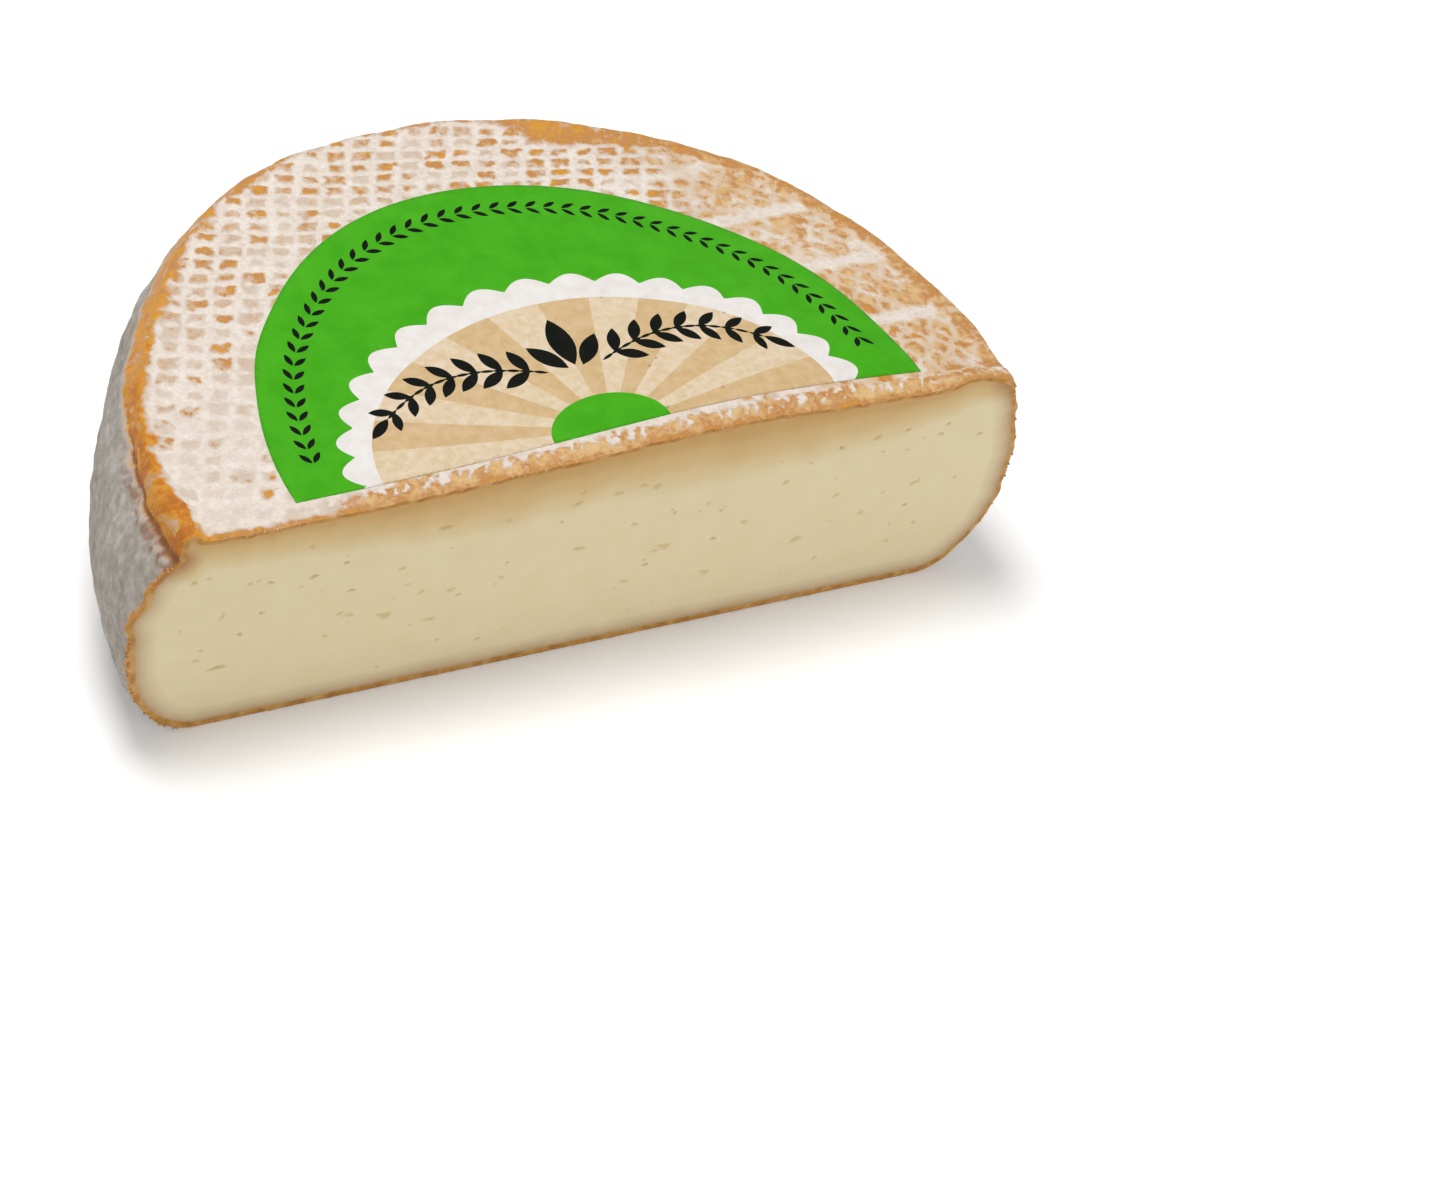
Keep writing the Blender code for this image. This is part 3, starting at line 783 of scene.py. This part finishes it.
def make_crumbs(rind, points):
    """Loose crumbs of crust along the knife's edge, half sunk in the rind."""
    random = np.random.default_rng(SEED + 3)
    ball, ball_faces = crumb_shape()
    at_edge = (points[:, 1] - CUT_Y < 0.7) * (points[:, 2] > 0.6)
    chances = CRUMB_SHARE * at_edge * np.where(points[:, 0] < -70.0, 1.0, 0.6)
    parts, bare = [], []
    for index in np.flatnonzero(random.random(len(points)) < chances):
        size = random.uniform(*CRUMB_SIZES)
        spin = Euler(random.uniform(0.0, 6.28, 3)).to_matrix()
        lump = ball * (1.0 + 0.6 * ripple(ball, 0.9, index * 0.37))[:, None] * (1.0, 0.8, 0.65)
        parts.append(lump @ np.array(spin) * size + points[index] - (0.0, 0.0, 0.3 * size))
        bare.append(np.full(len(ball), random.uniform(0.7, 1.0)))
    every = np.concatenate(parts)
    every[:, 2] = np.maximum(every[:, 2], 0.02)
    faces = np.concatenate([ball_faces + len(ball) * number for number in range(len(parts))])
    crumbs = new_mesh_object("crust_crumbs", move_to_part(every), faces, (rind,))
    store(crumbs.data, bare=np.concatenate(bare), tone=0.55, heel=0.0, worn=0.0, dark=0.0)
    crumbs.data.shade_smooth()
    return crumbs


def make_cheese(rind, paste):
    """The whole half wheel as one closed body, and the crumbs on its rind."""
    points, faces, pattern, cut_count, outline_count = make_rind()
    cut_points, cut_faces, foot_count, colouring = make_cut_face(points[:cut_count][:, [0, 2]])
    every = np.concatenate([points, cut_points[cut_count:]])
    added = len(points) + np.arange(len(cut_points) - cut_count)
    in_cut = np.concatenate([np.arange(cut_count), added])
    foot = added[:foot_count][::-1]
    round_base = np.concatenate([np.arange(cut_count, outline_count), [0], foot, [cut_count - 1]])
    base_faces = triangles(every[round_base, :2], np.empty((0, 2)))
    sides = (faces, in_cut[cut_faces], round_base[base_faces][:, ::-1])
    body = new_mesh_object("cheese_body", move_to_part(every), np.concatenate(sides), (rind, paste))
    kinds = np.concatenate([np.full(len(side), index) for side, index in zip(sides, (0, 1, 0))])
    body.data.polygons.foreach_set("material_index", kinds)
    for name, elsewhere in (("bare", 0.4), ("tone", 0.5), ("heel", 0.5), ("worn", 0.0), ("dark", 0.0)):
        values = np.full(len(every), elsewhere)
        values[: len(points)] = pattern[name]
        store(body.data, **{name: values})
    for name, colour in colouring.items():
        values = np.zeros(len(every))
        values[in_cut] = colour
        store(body.data, **{name: values})
    sharpen_between_materials(body.data)
    return body, make_crumbs(rind, points)


# The label's printed design

def leaf_outline(leaf, steps):
    """Points round a pointed leaf: X, Y, turn, half length and half width."""
    x, y, turn, half_length, half_width = leaf
    share = np.linspace(-1.0, 1.0, steps)
    upper = np.stack([share * half_length, half_width * (1.0 - share**2)], axis=1)
    lower = np.stack([share[::-1][1:-1] * half_length, -half_width * (1.0 - share[1:-1] ** 2)], axis=1)
    local = np.concatenate([upper, lower])
    spin = np.array([[math.cos(turn), math.sin(turn)], [-math.sin(turn), math.cos(turn)]])
    return local @ spin + (x, y)


def in_leaf(points, leaf):
    x, y, turn, half_length, half_width = leaf
    offset = points - (x, y)
    along = offset @ (math.cos(turn), math.sin(turn))
    across = offset @ (-math.sin(turn), math.cos(turn))
    share = along / half_length
    return (np.abs(share) < 1.0) & (np.abs(across) < half_width * (1.0 - share**2))


def ring_leaves():
    """A laurel chain round the label: a pair of small slanting leaves at each step."""
    found = []
    for angle in np.radians(np.arange(4.0, 177.0, RING_STEP)):
        for side in (-1.0, 1.0):
            radius = RING_RADIUS + side * 1.15
            x = LABEL_CENTRE[0] + radius * math.cos(angle)
            y = LABEL_CENTRE[1] + radius * math.sin(angle)
            found.append((x, y, angle + math.pi / 2 + side * 0.62, 1.75, 0.62))
    return found


def stem_point(share):
    """Where the right-hand sprig's stem lies, from root to tip, and its slope."""
    x = LUNETTE_CENTRE[0] + STEM_ROOT[0] + STEM_REACH * share
    rise = STEM_RISE * math.sin(STEM_BEND * share) - STEM_DROOP * share**2
    steepness = STEM_RISE * STEM_BEND * math.cos(STEM_BEND * share) - 2.0 * STEM_DROOP * share
    return x, LUNETTE_CENTRE[1] + STEM_ROOT[1] + rise, math.atan2(steepness, STEM_REACH)


def sprig_leaves():
    """Two dark sprigs that spread from the middle of the straight edge to left and right."""
    found = []
    for index in range(STEM_LEAVES):
        share = (index + 0.5) / STEM_LEAVES
        size = 1.0 - 0.3 * share
        x, y, slope = stem_point(share)
        for wing in (-0.85, 0.85):
            leaf_x = x + math.cos(slope + wing) * 3.6 * size
            leaf_y = y + math.sin(slope + wing) * 3.6 * size
            found.append((leaf_x, leaf_y, slope + wing, 3.7 * size, 1.45 * size))
    x, y, slope = stem_point(1.05)
    found.append((x, y, slope, 3.4, 1.2))
    for index in range(STEM_LEAVES * 2):
        x, y, slope = stem_point((index + 0.2) / (STEM_LEAVES * 2))
        found.append((x, y, slope, 1.7, 0.4))
    middle, low = LUNETTE_CENTRE
    mirrored = [(2.0 * middle - x, y, math.pi - turn, length, width) for x, y, turn, length, width in found]
    crown = [(middle, low + 26.0, math.pi / 2, 7.0, 2.6)]
    for side in (-1.0, 1.0):
        crown.append((middle + side * 4.6, low + 22.5, math.pi / 2 - side * 0.65, 5.0, 1.9))
    return found + mirrored + crown


def oval(points, radii):
    """How far out in an oval each point is, 1 on its rim, and the point's angle."""
    offset = (points - np.array(LUNETTE_CENTRE)) / np.array(radii)
    return np.hypot(*offset.T), np.arctan2(offset[:, 1], offset[:, 0])


def scalloped(angle):
    """How far out the lunette's scallops reach, as a share of its oval."""
    return 1.0 - SCALLOP_DEPTH / LUNETTE[1] * (1.0 - np.abs(np.sin(angle * SCALLOPS)))


def print_fields(points, leaves):
    """The ink under each point."""
    ink = np.full(len(points), GREEN)
    share, angle = oval(points, LUNETTE)
    ink[share < scalloped(angle)] = WHITE
    share, angle = oval(points, FAN)
    ray = np.floor(angle / math.pi * RAYS).astype(int)
    fan = share < 1.0
    ink[fan] = np.where(ray % 2 == 0, TAN, CREAM)[fan]
    share, _ = oval(points, HUB)
    ink[share < 1.0] = GREEN
    for leaf in leaves:
        ink[in_leaf(points, leaf)] = DARK
    return ink


def label_outline():
    """The label's plain outline: its arc from right to left, and back along the straight edge."""
    (x0, y0), (x1, y1) = LABEL_EDGE
    tilt = math.atan2(y1 - y0, x1 - x0)
    drop = (LABEL_CENTRE[1] - y0) * math.cos(tilt) - (LABEL_CENTRE[0] - x0) * math.sin(tilt)
    dip = math.asin(drop / LABEL_RADIUS)
    turns = np.linspace(tilt - dip, tilt + math.pi + dip, 150)
    arc = np.array(LABEL_CENTRE) + LABEL_RADIUS * directions(turns)
    straight = arc[-1] + (arc[0] - arc[-1]) * np.linspace(0.0, 1.0, 90)[1:-1, None]
    return np.concatenate([arc, straight])


def oval_line(radii, angles, share=1.0):
    return np.array(LUNETTE_CENTRE) + directions(angles) * radii * np.reshape(share, (-1, 1))


def drawn_out(flat):
    """Points of the label's plan once its plain arc is drawn out to the real edge."""
    offset = flat - np.array(LABEL_CENTRE)
    reach = np.hypot(*offset.T)
    shift = label_shift(*flat.T) * (reach / LABEL_RADIUS) ** 2
    return flat + offset * (shift / np.maximum(reach, 1.0))[:, None]


def label_lines(ring, sprigs):
    """The lines where the print changes, the outline first, and whether each is closed."""
    lines = [(label_outline(), True)]
    lines += [(leaf_outline(leaf, 7), True) for leaf in ring]
    lines += [(leaf_outline(leaf, 11), True) for leaf in sprigs]
    angles = np.linspace(-0.05, math.pi + 0.05, 361)
    lines.append((oval_line(LUNETTE, angles, scalloped(angles)), False))
    lines += [(oval_line(radii, angles[::3]), False) for radii in (FAN, HUB)]
    for ray in range(1, RAYS):
        inner, outer = (oval_line(radii, np.array([ray * math.pi / RAYS])) for radii in (HUB, FAN))
        lines.append((inner + (outer - inner) * np.linspace(0.0, 1.0, 21)[:, None], False))
    return lines


def line_edges(start, count, is_closed):
    """Pairs of neighbouring points along a line whose first point has this index."""
    pairs = [(start + index, start + index + 1) for index in range(count - 1)]
    return pairs + [(start + count - 1, start)] if is_closed else pairs


def label_triangles(lines):
    """Points and triangles of the flat label, with triangle edges along every line."""
    random = np.random.default_rng(SEED + 2)
    outline = lines[0][0]
    edges, count = [], 0
    for line, is_closed in lines:
        edges += line_edges(count, len(line), is_closed)
        count += len(line)
    fill = hexagonal(outline.min(0), outline.max(0), LABEL_STEP, random)
    fill = fill[inside_outline(fill, outline) & (distance_to_line(fill, outline) > 0.6)]
    points = np.concatenate([*(line for line, _ in lines), fill])
    made = geometry.delaunay_2d_cdt([Vector(point) for point in points], edges, [], 0, 1e-5)
    flat = np.array([tuple(point) for point in made[0]])
    faces = np.array(made[2])
    faces = faces[inside_outline(flat[faces].mean(1), outline)]
    used, renumbered = np.unique(faces, return_inverse=True)
    return flat[used], renumbered.reshape(faces.shape)


def make_label(inks):
    ring, sprigs = ring_leaves(), sprig_leaves()
    flat, faces = label_triangles(label_lines(ring, sprigs))
    plan = drawn_out(flat)
    height = TOP_HEIGHT + dome(*plan.T) + lip_lift(*plan.T) + LABEL_LIFT + paper_relief(flat)
    places = move_to_part(np.column_stack([plan, height]))
    label = new_mesh_object("label_sheet", places, wound_left(flat, faces), inks)
    ink = print_fields(flat[faces].mean(1), ring + sprigs)
    label.data.polygons.foreach_set("material_index", ink)
    label.data.shade_smooth()
    paper = label.modifiers.new("paper", "SOLIDIFY")
    paper.thickness = LABEL_THICKNESS * MM
    paper.offset = 1.0
    paper.use_rim = True
    return label


def paper_relief(flat):
    """Soft creases of glued paper, in millimetres, never below the rind."""
    points = np.column_stack([flat, np.zeros(len(flat))])
    creases = 0.5 * np.maximum(ripple(points * (1.0, 2.2, 1.0), 26.0, 3.0), 0.0) ** 1.5
    bubbles = 0.1 * np.maximum(ripple(points, 7.0, 5.0), 0.0)
    edge = smooth(1.0, 9.0, label_distance(flat[:, 0], flat[:, 1]))
    return (creases + bubbles) * edge + 0.04


# Materials

def srgb(red, green, blue):
    """A colour read on a screen, from 0 to 255, as linear light."""
    values = [value / 255 for value in (red, green, blue)]
    linear = [value / 12.92 if value <= 0.04045 else ((value + 0.055) / 1.055) ** 2.4 for value in values]
    return (*linear, 1.0)


class Nodes:
    """Short calls for building a material's nodes."""

    def __init__(self, name):
        self.material = bpy.data.materials.new(name)
        self.material.use_nodes = True
        self.tree = self.material.node_tree
        self.shader = self.tree.nodes["Principled BSDF"]

    def feed(self, node, key, value):
        if isinstance(value, bpy.types.NodeSocket):
            self.tree.links.new(value, node.inputs[key])
        else:
            node.inputs[key].default_value = value

    def add(self, kind, inputs, **settings):
        node = self.tree.nodes.new(kind)
        for key, value in settings.items():
            setattr(node, key, value)
        for key, value in inputs.items():
            self.feed(node, key, value)
        return node

    def attribute(self, name):
        return self.add("ShaderNodeAttribute", {}, attribute_name=name).outputs["Fac"]

    def noise(self, length, detail=2.0, rough=0.5):
        """Noise from 0 to 1 whose features are about this many millimetres long."""
        place = self.add("ShaderNodeTexCoord", {}).outputs["Object"]
        inputs = {"Vector": place, "Scale": 1.0 / (length * MM), "Detail": detail, "Roughness": rough}
        return self.add("ShaderNodeTexNoise", inputs).outputs["Fac"]

    def math(self, operation, *values):
        return self.add("ShaderNodeMath", dict(enumerate(values)), operation=operation).outputs[0]

    def plus(self, value, wave, amount):
        """value + amount * wave"""
        return self.math("MULTIPLY_ADD", wave, amount, value)

    def sway(self, value, *waves):
        """The value, moved up and down by each wave times its amount."""
        for wave, amount in waves:
            value = self.plus(value, self.math("SUBTRACT", wave, 0.5), amount)
        return value

    def step(self, value, low, high):
        inputs = {"Value": value, "From Min": low, "From Max": high}
        return self.add("ShaderNodeMapRange", inputs, interpolation_type="SMOOTHSTEP").outputs["Result"]

    def ramp(self, value, stops, as_light=srgb):
        """A colour between stops, each a place from 0 to 1 with what makes its colour."""
        node = self.add("ShaderNodeValToRGB", {"Fac": value})
        while len(node.color_ramp.elements) < len(stops):
            node.color_ramp.elements.new(0.5)
        for element, (position, colour) in zip(node.color_ramp.elements, stops):
            element.position = position
            element.color = as_light(*colour)
        return node.outputs["Color"]

    def mix(self, share, first, second, how="MIX"):
        node = self.add("ShaderNodeMix", {"Factor": share}, data_type="RGBA", blend_type=how)
        self.feed(node, "A", first)
        self.feed(node, "B", second)
        return node.outputs[2]

    def bump(self, height, distance, strength):
        inputs = {"Height": height, "Distance": distance * MM, "Strength": strength}
        return self.add("ShaderNodeBump", inputs).outputs["Normal"]

    def finish(self, **inputs):
        """Feed the shader's own sockets and give back the material."""
        for key, value in inputs.items():
            self.feed(self.shader, key.replace("_", " "), value)
        return self.material


def make_rind_material():
    """Crust under a bloom that is white on the top and grey on the heel, the grey partly painted shade."""
    nodes = Nodes("rind")
    grain = nodes.noise(1.2, 3.0, 0.6)
    speck = nodes.noise(0.5, 2.0, 0.6)
    blotch = nodes.noise(5.0, 3.0, 0.6)
    lump = nodes.noise(2.4, 3.0, 0.65)
    wide = nodes.noise(22.0, 2.0)
    bare = nodes.sway(nodes.attribute("bare"), (grain, 0.75), (speck, 0.5))
    tone = nodes.sway(nodes.attribute("tone"), (blotch, 0.8), (grain, 0.6))
    crust = nodes.ramp(tone, CRUST)
    bloom = nodes.ramp(nodes.sway(grain, (blotch, 0.5)), BLOOM)
    # The heel's grey, partly painted shade
    grey = nodes.ramp(nodes.sway(lump, (wide, 0.5), (blotch, 0.7)), GREY_AND_SHADE)
    pale = nodes.mix(nodes.attribute("heel"), bloom, grey)
    veil = nodes.mix(nodes.attribute("worn"), srgb(*VEIL), srgb(*WORN_VEIL))
    colour = nodes.mix(nodes.step(bare, 0.05, 0.45), pale, nodes.mix(0.6, pale, veil))
    bared = nodes.step(bare, 0.4, 0.85)
    colour = nodes.mix(bared, colour, crust)
    dark = nodes.step(nodes.sway(nodes.attribute("dark"), (grain, 0.8)), 0.3, 1.0)
    colour = nodes.mix(dark, colour, nodes.mix(blotch, srgb(*SPLIT), srgb(*STAIN)))
    normal = nodes.bump(nodes.plus(nodes.plus(grain, lump, 1.2), speck, 0.3), 0.3, 0.55)
    roughness = nodes.plus(0.85, bared, -0.25)
    return nodes.finish(Base_Color=colour, Roughness=roughness, Normal=normal, Specular_IOR_Level=0.3)


def tint(*colour):
    """What turns the plain paste into this colour when the two are multiplied."""
    parts = [wanted / plain for wanted, plain in zip(srgb(*colour), srgb(*PASTE))]
    return (*parts[:3], 1.0)


def make_paste_material():
    """Pale paste that darkens under the rind, with a brown skin line and painted shade in the eyes."""
    nodes = Nodes("paste")
    grain = nodes.noise(0.8, 3.0, 0.6)
    blotch = nodes.noise(8.0, 3.0, 0.5)
    streak = nodes.noise(2.6, 2.0, 0.5)
    body = nodes.ramp(blotch, ((0.3, PASTE), (0.75, PALE_PASTE)))
    zone = nodes.ramp(nodes.sway(nodes.attribute("zone"), (blotch, 0.16)), ZONE, tint)
    near_side = nodes.math("DIVIDE", nodes.sway(nodes.attribute("side"), (blotch, 0.8)), 6.0)
    side = nodes.ramp(near_side, SIDE, tint)
    body = nodes.mix(1.0, nodes.mix(1.0, body, zone, "MULTIPLY"), side, "MULTIPLY")
    line = nodes.step(nodes.sway(nodes.attribute("skin"), (grain, 0.7)), 1.3, 0.8)
    colour = nodes.mix(line, body, nodes.ramp(streak, SKIN))
    # Painted shade in the eyes' hollows, at half strength
    colour = nodes.mix(nodes.math("MULTIPLY", nodes.attribute("eye"), 0.5), colour, srgb(*EYE_PAINTED_SHADE))
    height = nodes.plus(nodes.math("MULTIPLY", grain, 0.35), blotch, 1.5)
    return nodes.finish(
        Base_Color=colour,
        Roughness=nodes.plus(0.35, blotch, 0.25),
        Normal=nodes.bump(height, 0.10, 0.6),
        Specular_IOR_Level=0.3,
        Subsurface_Weight=0.2,
        Subsurface_Radius=(1.0, 0.7, 0.35),
        Subsurface_Scale=0.001,
    )


def make_ink(name, light, deep, length):
    """Printed paper: a colour that wavers a little, under a half-gloss finish."""
    nodes = Nodes(name)
    mottle = nodes.noise(length, 4.0, 0.65)
    colour = nodes.ramp(mottle, ((0.35, deep), (0.65, light)))
    fibre = nodes.noise(0.35, 2.0)
    waver = nodes.noise(14.0, 2.0)
    normal = nodes.bump(nodes.plus(waver, fibre, 0.1), 0.25, 0.35)
    roughness = nodes.plus(0.3, mottle, 0.12)
    return nodes.finish(Base_Color=colour, Roughness=roughness, Normal=normal, Specular_IOR_Level=0.12)


def plain_light(level):
    return (level, level, level, 1.0)


def make_floor_material():
    nodes = Nodes("floor_white")
    paper = nodes.noise(40.0, 2.0)
    return nodes.finish(
        Base_Color=nodes.ramp(paper, ((0.3, (0.96,)), (0.7, (0.98,))), plain_light),
        Roughness=0.9,
        Emission_Color=plain_light(1.0),
        Emission_Strength=FLOOR_GLOW,
        Specular_IOR_Level=0.0,
    )


# Surroundings

def make_floor():
    signs = ((-1.0, -1.0), (1.0, -1.0), (1.0, 1.0), (-1.0, 1.0))
    corners = np.array([(FLOOR_REACH * x, FLOOR_REACH * y, 0.0) for x, y in signs])
    floor = new_mesh_object("floor", corners, [(0, 1, 2, 3)], (make_floor_material(),))
    floor.location.z = -FLOOR_DROP


def add_light(name, place, size, power):
    light = bpy.data.lights.new(name, "AREA")
    light.shape = "DISK"
    light.size = size
    light.energy = power
    lamp = bpy.data.objects.new(name, light)
    bpy.context.scene.collection.objects.link(lamp)
    lamp.location = place
    lamp.rotation_euler = (Vector(LIGHT_TARGET) - Vector(place)).to_track_quat("-Z", "Y").to_euler()


def make_lights():
    world = bpy.data.worlds.new("studio")
    world.use_nodes = True
    sky = world.node_tree.nodes["Background"].inputs
    sky["Color"].default_value = plain_light(1.0)
    sky["Strength"].default_value = WORLD_STRENGTH
    bpy.context.scene.world = world
    for light in LIGHTS:
        add_light(*light)


def make_camera():
    turns = ((CAMERA_AZIMUTH, "Z"), (90.0 - CAMERA_ELEVATION, "X"), (CAMERA_ROLL, "Z"))
    pose = Matrix.Translation(CAMERA_TARGET)
    for degrees, axis in turns:
        pose = pose @ Matrix.Rotation(math.radians(degrees), 4, axis)
    lens = bpy.data.cameras.new("camera")
    lens.lens = CAMERA_LENS
    lens.sensor_width = CAMERA_SENSOR
    lens.clip_start = 0.01
    camera = bpy.data.objects.new("camera", lens)
    bpy.context.scene.collection.objects.link(camera)
    camera.matrix_world = pose @ Matrix.Translation((0.0, 0.0, CAMERA_DISTANCE))
    bpy.context.scene.camera = camera


def main():
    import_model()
    bpy.context.scene.view_settings.view_transform = "Standard"
    make_camera()
    make_lights()
    make_floor()
    cheese, crumbs = make_cheese(make_rind_material(), make_paste_material())
    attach(cheese, "root")
    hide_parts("cheese")
    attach(crumbs, "root")
    label = make_label([make_ink(*ink) for ink in INKS])
    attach(label, "root")
    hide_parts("label")


main()
